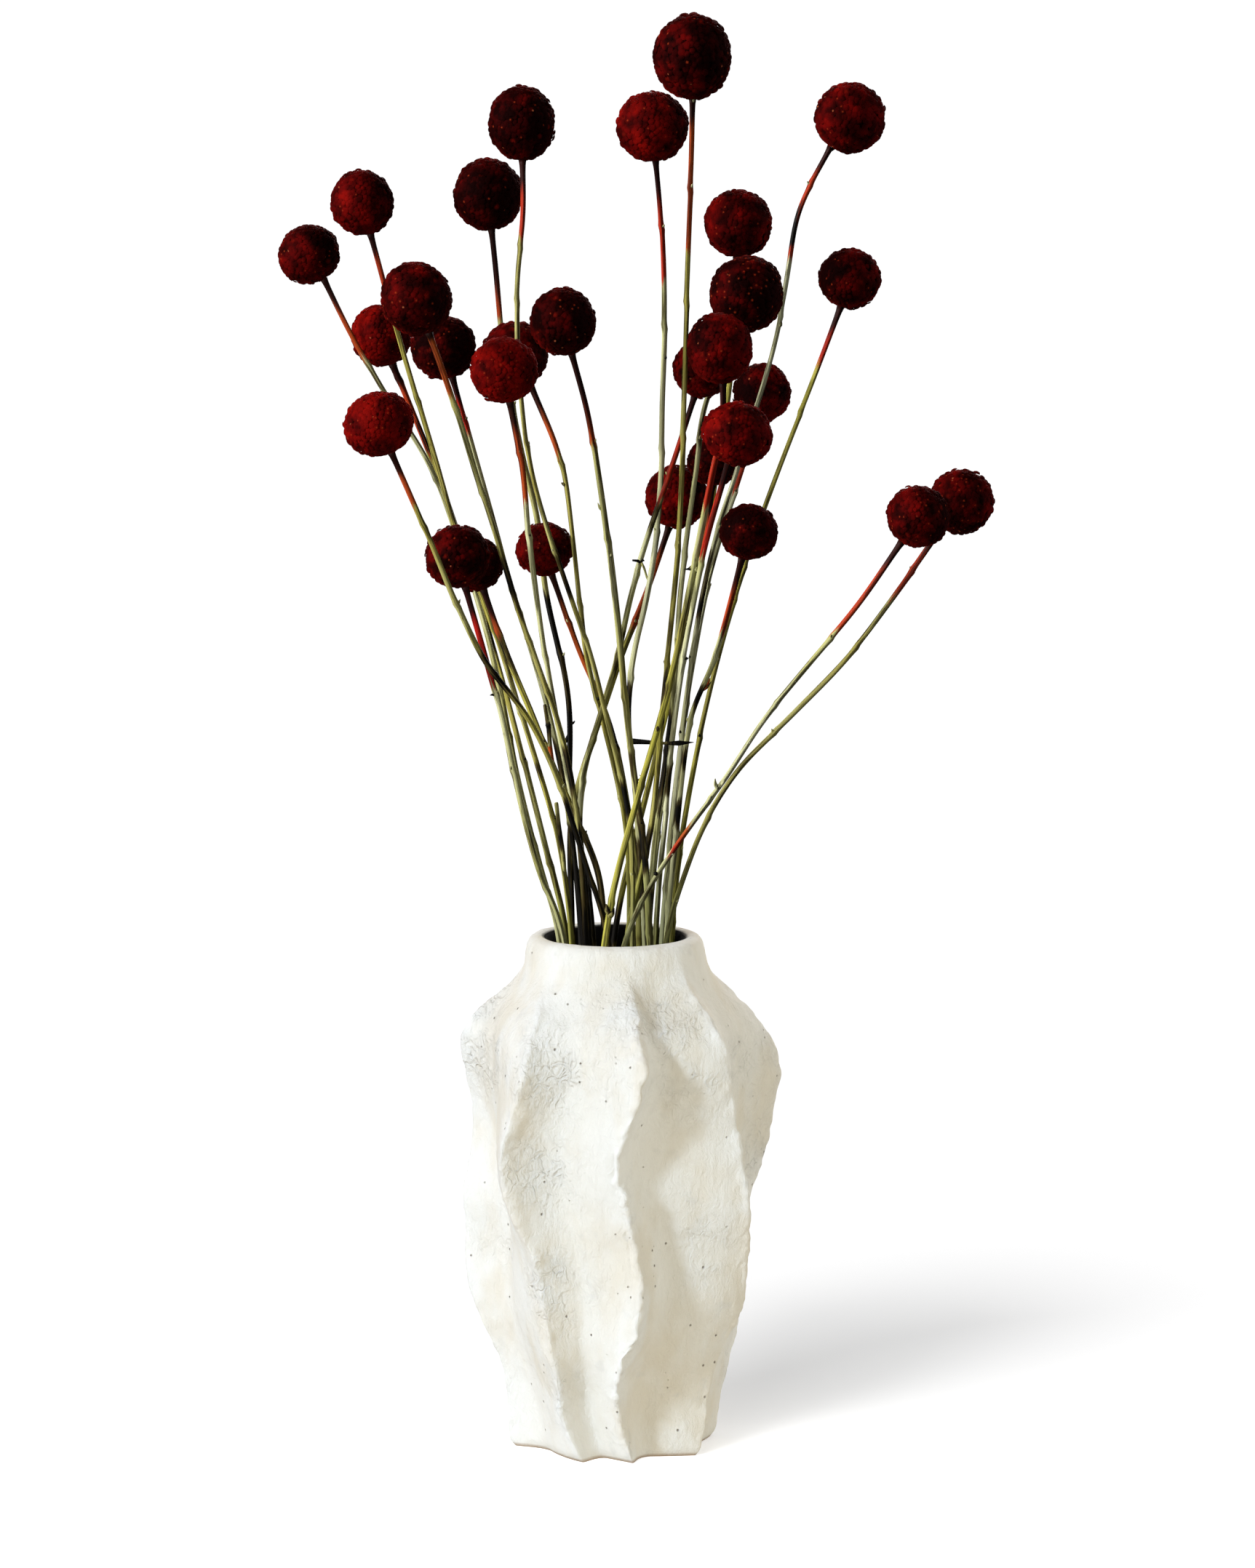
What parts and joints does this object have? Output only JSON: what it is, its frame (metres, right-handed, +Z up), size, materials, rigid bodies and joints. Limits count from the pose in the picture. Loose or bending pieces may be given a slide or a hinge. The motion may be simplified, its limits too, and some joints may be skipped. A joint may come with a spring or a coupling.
{
  "type": "dried billy buttons in a vase",
  "caption": "Dried billy button flowers with round deep red heads on long thin stems, standing in a white hand-shaped vase with wavy upright fins.",
  "frame": {"origin": "centre of the vase's flat foot, on the surface that it stands on", "axes": "+Z up along the vase, +X to the right as the bunch is seen from the front, +Y to the back"},
  "size_m": [0.2903, 0.1285, 0.5912],
  "materials": {
    "vase": "matte",
    "head": "matte",
    "stem": "satin"
  },
  "bodies": {
    "root": {"vase": "vase", "head_01": "head", "head_02": "head", "head_03": "head", "head_04": "head", "head_05": "head", "head_06": "head", "head_07": "head", "head_08": "head", "head_09": "head", "head_10": "head", "head_11": "head", "head_12": "head", "head_13": "head", "head_14": "head", "head_15": "head", "head_16": "head", "head_17": "head", "head_18": "head", "head_19": "head", "head_20": "head", "head_21": "head", "head_22": "head", "head_23": "head", "head_24": "head", "head_25": "head", "head_26": "head", "head_27": "head", "head_28": "head", "head_29": "head", "stem_01": "stem", "stem_02": "stem", "stem_03": "stem", "stem_04": "stem", "stem_05": "stem", "stem_06": "stem", "stem_07": "stem", "stem_08": "stem", "stem_09": "stem", "stem_10": "stem", "stem_11": "stem", "stem_12": "stem", "stem_13": "stem", "stem_14": "stem", "stem_15": "stem", "stem_16": "stem", "stem_17": "stem", "stem_18": "stem", "stem_19": "stem", "stem_20": "stem", "stem_21": "stem", "stem_22": "stem", "stem_23": "stem", "stem_24": "stem", "stem_25": "stem", "stem_26": "stem", "stem_27": "stem", "stem_28": "stem", "stem_29": "stem"}
  },
  "joints": []
}
